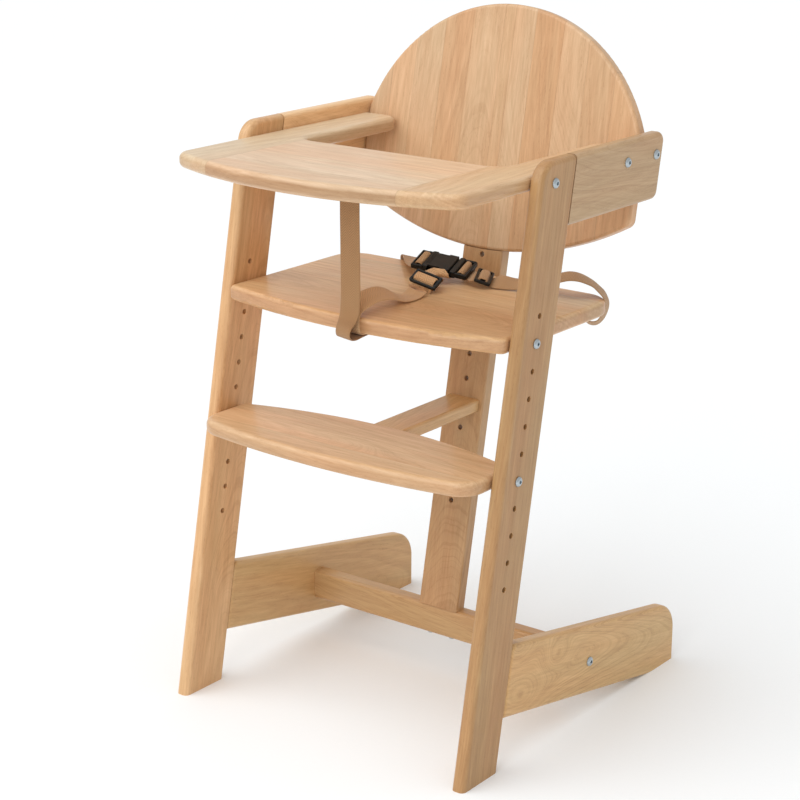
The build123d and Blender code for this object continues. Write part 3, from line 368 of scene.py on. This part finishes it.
def webbing_material(name, tone):
    """Herringbone webbing: 4 mm columns of slanted yarns that change direction, a tight selvedge, and slight colour variation. It uses the ribbon's own UVs, in metres."""
    n = Net(name)
    uv = n.split(n.coords("UV"))
    u, v = uv[0], uv[1]
    column = n.math("DIVIDE", u, 0.0058)
    half = n.math("PINGPONG", column, 1.0)
    slant = n.math("ADD", n.math("DIVIDE", v, 0.0031), n.math("MULTIPLY", half, 1.9))
    yarn = n.math("ABSOLUTE", n.math("SINE", n.math("MULTIPLY", slant, math.pi)))
    weft = n.math("ABSOLUTE", n.math("SINE", n.math("MULTIPLY", u, math.pi / 0.00075)))
    cloth = n.math("MULTIPLY", n.math("POWER", yarn, 0.6), n.math("MULTIPLY_ADD", weft, 0.3, 0.7))
    edge = n.step(n.math("ABSOLUTE", u), 0.0128, 0.0138)
    selv = n.math("ABSOLUTE", n.math("SINE", n.math("MULTIPLY", v, math.pi / 0.0011)))
    height = n.mix(edge, cloth, selv)
    fuzz = n.noise(n.xyz(n.math("MULTIPLY", u, 2600.0), n.math("MULTIPLY", v, 1500.0), 0.0), 1.0, 2.0, 0.6)
    patch = n.noise(n.xyz(n.math("MULTIPLY", u, 60.0), n.math("MULTIPLY", v, 25.0), 0.0), 1.0, 2.0, 0.5)
    # painted shade and light in the weave: the low places of the height pattern are darkened to 0.45 of the tone and
    # the raised yarns lightened to 1.12 of it
    col = n.mix(n.step(height, 0.05, 0.95), tuple(q * 0.45 for q in tone), tuple(q * 1.12 for q in tone))
    col = n.mix(n.math("MULTIPLY", fuzz, 0.35), col, tuple(min(1, q * 1.25) for q in tone))
    col = n.mix(n.math("MULTIPLY", n.step(patch, 0.35, 0.7), 0.28), col, (tone[0] * 0.86, tone[1] * 0.80, tone[2] * 0.74))
    n.set(Base_Color=col, Roughness=0.82, Sheen_Weight=0.22, Sheen_Roughness=0.45, Specular_IOR_Level=0.25)
    n.bump(height, 0.55, 0.00035)
    return n.mat


tan = webbing_material("webbing_tan", (0.475, 0.28, 0.137))
# lit and shaded copies of the same webbing: a darker one with painted shade for the tray strap, which hangs in the
# tray's shadow, and a lighter one with painted light for the crotch strap's lit loop
tan_shaded = webbing_material("webbing_tan_painted_shade", (0.365, 0.20, 0.09))
tan_lit = webbing_material("webbing_tan_painted_light", (0.68, 0.42, 0.215))


# ---------------------------------------------------------------- mesh helpers
def new_object(name, verts, faces, mat, smooth=True):
    me = bpy.data.meshes.new(name)
    me.from_pydata([tuple(v) for v in verts], [], faces)
    me.update()
    me.materials.append(mat)
    if smooth:
        for p in me.polygons:
            p.use_smooth = True
    o = bpy.data.objects.new(name, me)
    scene.collection.objects.link(o)
    return o


def spline(points, step):
    """Centripetal Catmull-Rom curve through the rows of `points`, sampled about every `step` of the first three columns' mean of left and right edges."""
    p = np.array(points, float)
    p = np.vstack([2 * p[0] - p[1], p, 2 * p[-1] - p[-2]])
    out = []
    for i in range(1, len(p) - 2):
        p0, p1, p2, p3 = p[i - 1:i + 3]
        mid = lambda q: (q[:3] + q[3:6]) / 2
        t0 = 0.0
        t1 = t0 + max(np.linalg.norm(mid(p1) - mid(p0)), 1e-6) ** 0.5
        t2 = t1 + max(np.linalg.norm(mid(p2) - mid(p1)), 1e-6) ** 0.5
        t3 = t2 + max(np.linalg.norm(mid(p3) - mid(p2)), 1e-6) ** 0.5
        count = max(2, int(np.ceil(np.linalg.norm(mid(p2) - mid(p1)) / step)))
        for k in range(count):
            t = t1 + (t2 - t1) * k / count
            a1 = (t1 - t) / (t1 - t0) * p0 + (t - t0) / (t1 - t0) * p1
            a2 = (t2 - t) / (t2 - t1) * p1 + (t - t1) / (t2 - t1) * p2
            a3 = (t3 - t) / (t3 - t2) * p2 + (t - t2) / (t3 - t2) * p3
            b1 = (t2 - t) / (t2 - t0) * a1 + (t - t0) / (t2 - t0) * a2
            b2 = (t3 - t) / (t3 - t1) * a2 + (t - t1) / (t3 - t1) * a3
            out.append((t2 - t) / (t2 - t1) * b1 + (t - t1) / (t2 - t1) * b2)
    out.append(p[-2])
    return np.array(out)


def ribbon(name, stations, mat, thick=0.0016, width=0.029, step=1.6):
    """A strap of webbing through stations, each a pair of edge points (left, right) in mm. Its edges are rounded, its middle a little thicker, and its UVs are in metres: across, and along."""
    rows = [tuple(a) + tuple(b) for a, b in stations]
    curve = spline(rows, step)
    left = np.array([P(*q[:3]) for q in curve])
    right = np.array([P(*q[3:6]) for q in curve])
    mid = (left + right) / 2
    side = right - left
    side /= np.linalg.norm(side, axis=1)[:, None]
    tang = np.gradient(mid, axis=0)
    tang -= side * np.sum(tang * side, axis=1)[:, None]
    tang /= np.linalg.norm(tang, axis=1)[:, None]
    normal = np.cross(side, tang)
    along = np.concatenate([[0], np.cumsum(np.linalg.norm(np.diff(mid, axis=0), axis=1))])
    w, h = width / 2, thick / 2
    us = [-1.0, -0.97, -0.9, -0.6, -0.3, 0.0, 0.3, 0.6, 0.9, 0.97, 1.0]
    prof = [0.0, 0.55, 0.88, 0.93, 0.98, 1.0, 0.98, 0.93, 0.88, 0.55, 0.0]
    ring = [(u * w, q * h) for u, q in zip(us, prof)] + [(u * w, -q * h) for u, q in list(zip(us, prof))[-2:0:-1]]
    k = len(ring)
    verts, faces, uvs = [], [], []
    for i in range(len(mid)):
        for a, b in ring:
            verts.append(mid[i] + side[i] * a + normal[i] * b)
    for i in range(len(mid) - 1):
        for j in range(k):
            j2 = (j + 1) % k
            faces.append((i * k + j, i * k + j2, (i + 1) * k + j2, (i + 1) * k + j))
            uvs.append([(ring[j][0], along[i]), (ring[j2][0], along[i]), (ring[j2][0], along[i + 1]), (ring[j][0], along[i + 1])])
    for i, order in ((0, range(k - 1, -1, -1)), (len(mid) - 1, range(k))):
        faces.append(tuple(i * k + j for j in order))
        uvs.append([(ring[j][0], along[i]) for j in order])
    o = new_object(name, verts, faces, mat)
    layer = o.data.uv_layers.new(name="uv")
    flat = [c for f in uvs for c in f]
    for loop, c in zip(layer.data, flat):
        loop.uv = c
    bm = bmesh.new()
    bm.from_mesh(o.data)
    bmesh.ops.recalc_face_normals(bm, faces=bm.faces)
    bm.to_mesh(o.data)
    bm.free()
    return o


class Place:
    """A small local frame: an origin in mm, and x and z directions."""

    def __init__(self, origin, x, z):
        self.o = Vector(origin)
        self.x = Vector(x).normalized()
        self.z = (Vector(z) - Vector(z).dot(self.x) * self.x).normalized()
        self.y = self.z.cross(self.x)

    def at(self, x, y, z):
        q = self.o + self.x * x + self.y * y + self.z * z
        return (q.x, q.y, q.z)

    def band(self, x, z, half=14.5, y=0.0):
        """Both edges of a strap that crosses this frame along its x."""
        return (self.at(x, y - half, z), self.at(x, y + half, z))

    def band_y(self, y, z, half=14.5):
        """Both edges of a strap that crosses this frame along its y."""
        return (self.at(-half, y, z), self.at(half, y, z))

    def matrix(self):
        m = Matrix((self.x, self.y, self.z)).transposed().to_4x4() @ Matrix.Scale(0.001, 4)
        m.translation = P(*self.o)
        return m


def outline_solid(place, pts, z0, z1, bevel=0.9, segments=3):
    """A bmesh of the outline raised from z0 to z1 in the place's millimetres, its edges rounded."""
    bm = bmesh.new()
    low = [bm.verts.new((x, y, z0)) for x, y in pts]
    high = [bm.verts.new((x, y, z1)) for x, y in pts]
    bm.faces.new(low[::-1])
    bm.faces.new(high)
    for i in range(len(pts)):
        j = (i + 1) % len(pts)
        bm.faces.new((low[i], low[j], high[j], high[i]))
    bmesh.ops.recalc_face_normals(bm, faces=bm.faces)
    if bevel:
        rims = [e for e in bm.edges if abs(e.verts[0].co.z - e.verts[1].co.z) < 1e-6]
        bmesh.ops.bevel(bm, geom=rims, offset=bevel, segments=segments, profile=0.6, affect="EDGES", clamp_overlap=True)
    return bm


def rounded(x0, x1, y0, y1, r, n=5):
    pts = []
    for cx, cy, a0 in ((x1 - r, y1 - r, 0), (x0 + r, y1 - r, 90), (x0 + r, y0 + r, 180), (x1 - r, y0 + r, 270)):
        for k in range(n + 1):
            a = math.radians(a0 + 90 * k / n)
            pts.append((cx + r * math.cos(a), cy + r * math.sin(a)))
    return pts


def to_object(name, bm, place, mat):
    me = bpy.data.meshes.new(name)
    bm.to_mesh(me)
    bm.free()
    me.transform(place.matrix())
    me.materials.append(mat)
    for p in me.polygons:
        p.use_smooth = True
    me.set_sharp_from_angle(angle=math.radians(38))
    o = bpy.data.objects.new(name, me)
    scene.collection.objects.link(o)
    return o


def join_bm(parts):
    out = bmesh.new()
    for bm in parts:
        me = bpy.data.meshes.new("tmp")
        bm.to_mesh(me)
        bm.free()
        out.from_mesh(me)
        bpy.data.meshes.remove(me)
    return out


def carved(name, bm, cutters, place, mat):
    """The solid less its cutters, by exact booleans, applied."""
    o = to_object(name, bm, place, mat)
    for i, cut in enumerate(cutters):
        c = to_object(f"{name}_cut{i}", cut, place, mat)
        mod = o.modifiers.new("cut", "BOOLEAN")
        mod.operation, mod.solver, mod.object = "DIFFERENCE", "EXACT", c
        bpy.context.view_layer.update()
        me = bpy.data.meshes.new_from_object(o.evaluated_get(bpy.context.evaluated_depsgraph_get()))
        o.modifiers.clear()
        o.data = me
        bpy.data.objects.remove(c)
    o.data.materials.clear()
    o.data.materials.append(mat)
    for p in o.data.polygons:
        p.material_index = 0
        p.use_smooth = True
    o.data.set_sharp_from_angle(angle=math.radians(38))
    return o


def box_bm(x0, x1, y0, y1, z0, z1, bevel=0.0):
    return outline_solid(None, [(x0, y0), (x1, y0), (x1, y1), (x0, y1)], z0, z1, bevel)


# ---------------------------------------------------------------- buckle and adjusters
BUCKLE = Place((-10.0, 281.6, 541.0), (0.972, 0.212, -0.113), (0.1656, -0.2529, 0.9532))
WAIST = Place((46.8, 284.6, 533.7), (0.84, 0.45, -0.30), (0.334, 0.004, 0.941))
CROTCH = Place((5.0, 220.0, 537.0), (0.95, 0.06, -0.20), (0.24, -0.50, 0.80))

# female half: a crowned shell with a window in each long side, and a ladder end for the webbing
shell = outline_solid(None, rounded(-24.8, 12.0, -18.8, 18.8, 3.4), -5.3, 5.5, 1.9, 4)
cuts = [
    box_bm(-18.5, 0.5, 12.6, 24, -2.9, 2.9, 0.6), box_bm(-18.5, 0.5, -24, -12.6, -2.9, 2.9, 0.6),
    box_bm(-22, 14, -13.0, 13.0, -3.1, 3.1, 0.5),
    box_bm(-17.0, -1.0, 15.6, 24, 1.5, 8, 0.5), box_bm(-17.0, -1.0, -24, -15.6, 1.5, 8, 0.5),
]
female = carved("buckle_shell", shell, cuts, BUCKLE, black)
ladder = [
    box_bm(-30.0, -24.0, 15.2, 18.8, -3.0, 3.6, 0.9), box_bm(-30.0, -24.0, -18.8, -15.2, -3.0, 3.6, 0.9),
    outline_solid(None, rounded(-39.4, -37.0, -18.8, 18.8, 1.1), -2.6, 2.8, 0.8),
    box_bm(-38.6, -28.0, 15.4, 18.8, -2.8, 3.2, 0.9), box_bm(-38.6, -28.0, -18.8, -15.4, -2.8, 3.2, 0.9),
    outline_solid(None, rounded(-33.4, -28.4, -17, 17, 1.6), -1.4, 2.2, 0.7),
]
# raised rim across the shell's mouth, and three shallow ribs at its closed end
ladder += [outline_solid(None, rounded(9.6, 11.6, -17.4, 17.4, 0.9), 4.6, 6.0, 0.5)]
ladder += [outline_solid(None, rounded(-21.6 + 1.9 * i, -20.6 + 1.9 * i, -11.5, 11.5, 0.45), 5.0, 5.85, 0.3) for i in range(3)]
ladder = to_object("buckle_ladder", join_bm(ladder), BUCKLE, black)

# male half: shoulder, ladder end, centre tongue, and two sprung arms whose ribbed buttons fill the windows
male_parts = [
    outline_solid(None, rounded(13.0, 20.6, -18.8, 18.8, 2.2), -4.2, 4.6, 1.3, 4),
    outline_solid(None, rounded(32.6, 36.0, -18.8, 18.8, 1.5), -2.8, 3.0, 0.9),
    box_bm(19.0, 34.5, 15.4, 18.8, -2.8, 3.4, 0.9), box_bm(19.0, 34.5, -18.8, -15.4, -2.8, 3.4, 0.9),
    outline_solid(None, rounded(25.2, 27.8, -17, 17, 1.0), -1.4, 1.6, 0.7),
    box_bm(-12.0, 15.0, -2.4, 2.4, -2.2, 2.2, 0.6),
]
for sy in (1, -1):
    arm = [(14.0, 9.0), (14.0, 12.2), (-1.0, 12.4), (-2.0, 16.4), (-4.5, 17.6), (-10.5, 17.2), (-13.0, 15.6), (-14.6, 12.4), (-13.6, 10.4), (-9.0, 9.6), (0.0, 9.0)]
    male_parts.append(outline_solid(None, [(x, sy * y) for x, y in (arm if sy > 0 else arm)][::sy], -2.4, 2.4, 0.6))
    for i in range(4):
        x = -11.2 + 2.3 * i
        y = 17.2
        male_parts.append(box_bm(x, x + 1.0, min(sy * 16.2, sy * (y + 0.7)), max(sy * 16.2, sy * (y + 0.7)), -2.2, 2.2, 0.25))
male = to_object("buckle_tongue", join_bm(male_parts), BUCKLE, black)


def slider(name, place, length, wide):
    """A three-bar slide: a swept rounded frame, with a centre bar. length runs across the webbing."""
    frame_bm = outline_solid(None, rounded(-wide / 2, wide / 2, -length / 2, length / 2, 2.6), -1.9, 2.0, 1.1, 4)
    half = length / 2 - 3.4
    cutter = [box_bm(-wide / 2 + 2.7, -3.4, -half, half, -6, 6), box_bm(3.4, wide / 2 - 2.7, -half, half, -6, 6)]
    return carved(name, frame_bm, cutter, place, black)


waist_slide = slider("slide_waist", WAIST, 38.0, 21.0)
CROTCH_T = Place(CROTCH.o, tuple(CROTCH.y), tuple(CROTCH.z))  # its webbing runs along the frame's y
crotch_slide = slider("slide_crotch", CROTCH_T, 38.0, 21.0)

# ---------------------------------------------------------------- webbing
def pair(c, w, half=14.5):
    """Both edges of a strap from its middle and the direction of its width."""
    w = Vector(w).normalized() * half
    c = Vector(c)
    return (tuple(c - w), tuple(c + w))


# tray strap: under the tray, down in front of the seat, a loose bulge, and under the seat
tray_strap = [pair((9.5, 99, 682.4), X), pair((9.4, 84, 682.4), X), pair((9.3, 71.5, 682.4), X), pair((9.1, 66.4, 680.6), X), pair((9.0, 65.2, 675.5), X), pair((8.6, 65.3, 650), X),
              pair((8.8, 65.6, 610), X), pair((9.3, 65.4, 570), X), pair((9.7, 64.8, 543), X),
              ((-5, 64.0, 530), (24, 63.4, 529)), ((-5, 61.6, 521), (24, 57.4, 520)), ((-5, 57.0, 513.6), (24, 48.6, 513.4)), ((-5, 54.8, 506.5), (24, 46.0, 506.2)),
              ((-5, 56.6, 501.0), (24, 49.6, 500.7)), ((-5, 62.4, 499.3), (24, 57.8, 499.0)), ((-5, 69.6, 500.0), (24, 67.6, 499.9)), ((-5, 78, 500.7), (24, 78, 500.7)), ((-5, 100, 500.7), (24, 100, 500.7)), ((-5, 115, 500.7), (24, 115, 500.7))]
# the tray strap takes the darker copy of the webbing: painted shade from the tray above it
web_tray = ribbon("web_tray_strap", tray_strap, tan_shaded)

# crotch strap: under the seat, round its front edge, back over it in a tilted arch, and through its slide to the buckle
crotch_strap = [((-5, 115, 502.6), (24, 115, 502.6)), ((-5, 100, 502.6), (24, 100, 502.6)), ((-5, 76, 502.6), (24, 77, 502.6)), ((-5.5, 69, 503.6), (23, 69.8, 503.6)), ((-6, 66.0, 508), (22.3, 66.6, 508)),
                ((-7, 65.9, 514), (21.6, 66.5, 514)), ((-7.6, 66.2, 519), (21, 67.2, 519.5)), ((-8, 69, 527), (20.6, 69.6, 525.2)), ((-6.5, 78, 537), (22.4, 75.6, 530.6)), ((-5, 94, 543.5), (23.6, 91, 534.4)),
                ((-4.6, 112, 546), (24, 109, 535.5)), ((-4.6, 130, 545.6), (24.2, 127, 532.6)), ((-4.8, 149, 539.5), (24.6, 144.5, 527.2)), ((-4.6, 164.5, 530.6), (25.2, 156, 524.6)), ((-4, 176, 526.0), (26, 168, 524.0)),
                ((-5, 188.5, 525.8), (24.6, 184, 524.4)), ((-6.5, 199, 528.4), (22.0, 197, 527.0))]
crotch_strap += [CROTCH_T.band(x, z) for x, z in ((-14.5, -4.8), (-11.2, -3.5), (-6.8, -1.9), (-5.8, 0.4), (-4.6, 2.9), (-2.2, 3.6), (2.2, 3.6), (4.6, 2.9), (5.8, 0.4), (6.8, -1.9), (11.2, -3.6))]
crotch_strap += [BUCKLE.band_y(-13, -7.4), BUCKLE.band_y(-2, -7.2), BUCKLE.band_y(10, -7.0)]
# the crotch strap takes the lighter copy of the webbing: painted light
web_crotch = ribbon("web_crotch_strap", crotch_strap, tan_lit)

# left waist strap: under the seat, a loose loop round its side edge, an arch behind the leg, down on to the seat, and through its slide to the male half
def diagonal(along, z, slip=0.0, tilt=0.0):
    """A station of the left waist strap over the seat's rounded rear corner: along the diagonal from near its screw, its far edge slipped outwards and tilted by these lengths."""
    c = (150 + 0.8 * along, 300 + 0.6 * along, z)
    return pair(c, (-0.6 * 29 + 0.8 * slip, 0.8 * 29 + 0.6 * slip, tilt))


waist_left = [pair((130, 310.3, 501.9), (-0.297, 0.955, 0)), pair((149.9, 316.3, 501.9), (-0.297, 0.955, 0)), pair((159.2, 319.4, 499.6), (-0.36, 0.93, -0.08)), pair((168.8, 321.6, 493.4), (-0.47, 0.86, -0.22)), pair((177.3, 323.6, 489.0), (-0.54, 0.76, -0.36))]
waist_left += [diagonal(*q) for q in ((44, 489.6, 3, -13), (50, 495.0, 7, -11), (54.8, 505, 8.7, -5),
                                     (56.0, 513, 8.0, -2), (54.4, 520, 6.5, -1.5), (50.8, 526.6, 5.5, 0), (45.5, 532.0, 4, 1), (39, 538.0, 2.5, 1.4), (30, 543.0, 2.2, 3), (20, 546.7, 2.2, 4.2), (9, 547.8, 3, 5), (-2, 545.8, 3.7, 5.4))]
waist_left += [pair((135, 304, 541.8), (-0.50, 0.86, 0.14)), pair((118, 306, 535.5), (-0.45, 0.88, 0.10)), pair((101, 304, 530.3), (-0.5, 0.85, 0.14)), pair((85, 297.5, 528.4), (-0.5, 0.82, 0.26)), pair((68, 290, 529.8), (-0.45, 0.78, 0.36))]
waist_left += [WAIST.band(x, z) for x, z in ((11.0, -3.3), (6.6, -1.9), (5.6, 0.4), (4.4, 2.8), (2.2, 3.5), (-2.2, 3.5), (-4.4, 2.8), (-5.6, 0.4), (-6.6, -1.9), (-11.0, -3.3))]
waist_left += [BUCKLE.band(x, z) for x, z in ((34.0, -4.6), (30.4, -1.6), (29.6, 1.4), (28.2, 3.3), (26.2, 3.7), (24.0, 3.3), (22.6, 0.8), (22.6, -2.6), (26, -4.9), (33, -6.6))]
web_left = ribbon("web_waist_left", waist_left, tan)

# right waist strap: round the female half's bar, out over the seat, folded back over its rear edge, and under it
waist_right = [BUCKLE.band(x, z) for x, z in ((-38, -6.8), (-31, -6.0), (-26.9, -3.4), (-26.2, 0.4), (-27.6, 3.4), (-31.0, 4.2), (-34.2, 3.4), (-35.4, 0.4), (-36.2, -2.6), (-41.0, -4.0))]
waist_right += [pair((-61, 286, 538.6), (0.05, 0.97, 0.22)), pair((-76, 304, 534.4), (0.28, 0.95, 0.08)), pair((-89, 321, 531.2), (0.46, 0.87, -0.14)), pair((-100, 334, 528.4), (0.60, 0.75, -0.28)),
                pair((-108, 341.8, 523.0), (0.78, 0.52, -0.32)), pair((-112.5, 345.4, 515), (0.95, 0.14, -0.25)), pair((-113.2, 345.0, 507), (1, 0.02, -0.08)), pair((-113, 341.5, 502.2), X), pair((-113, 334, 501.2), X), pair((-113, 318, 501.8), X), pair((-113, 289, 501.8), X)]
web_right = ribbon("web_waist_right", waist_right, tan)

# ---------------------------------------------------------------- what rides on what
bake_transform(web_tray)
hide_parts("tray_strap")
for piece, node in ((web_crotch, "crotch_strap"), (web_right, "waist_strap_right")):
    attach(piece, "seat")
    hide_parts(node)
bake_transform(web_left)
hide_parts("waist_strap_left")
for piece, body, node in ((female, "seat", "buckle_female"), (ladder, "seat", "buckle_female"), (male, "buckle_male", "buckle_male"),
                          (waist_slide, "buckle_male", "waist_adjuster"), (crotch_slide, "seat", "crotch_adjuster")):
    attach(piece, body)
    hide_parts(node)

# ---------------------------------------------------------------- floor and light
def make_stage():
    n = Net("paper_white")
    pos = n.coords()
    speck = n.noise(pos, 180.0, 2.0, 0.5)
    n.set(Base_Color=n.mix(speck, (0.925, 0.945, 0.955), (0.945, 0.965, 0.975)), Roughness=0.9, Specular_IOR_Level=0.1)
    floor = new_object("floor", [(-20, -20, 0), (20, -20, 0), (20, 30, 0), (-20, 30, 0)], [(0, 1, 2, 3)], n.mat, smooth=False)

    world = bpy.data.worlds.new("world")
    scene.world = world
    world.use_nodes = True
    bg = world.node_tree.nodes["Background"]
    bg.inputs[0].default_value = (1.0, 1.0, 1.0, 1)
    bg.inputs[1].default_value = 0.70

    # a soft box beside the camera, for the satin highlights along the rounded edges
    box = bpy.data.lights.new("edge_light", "AREA")
    box.shape, box.size, box.energy = "SQUARE", 0.9, 12
    o = bpy.data.objects.new("edge_light", box)
    o.location = (0.9, -2.9, 1.7)
    o.rotation_euler = (Vector((0, 0, 0.5)) - o.location).to_track_quat("-Z", "Y").to_euler()
    scene.collection.objects.link(o)
    sun = bpy.data.lights.new("soft_key", "SUN")
    sun.energy, sun.angle = 1.50, math.radians(70)
    o = bpy.data.objects.new("soft_key", sun)
    o.rotation_euler = Vector((0.28, 0.54, -0.79)).to_track_quat("-Z", "Y").to_euler()
    scene.collection.objects.link(o)


make_stage()
scene.view_settings.view_transform = "Standard"
scene.view_settings.look = "None"
scene.view_settings.exposure = 0.0
scene.view_settings.gamma = 1.0
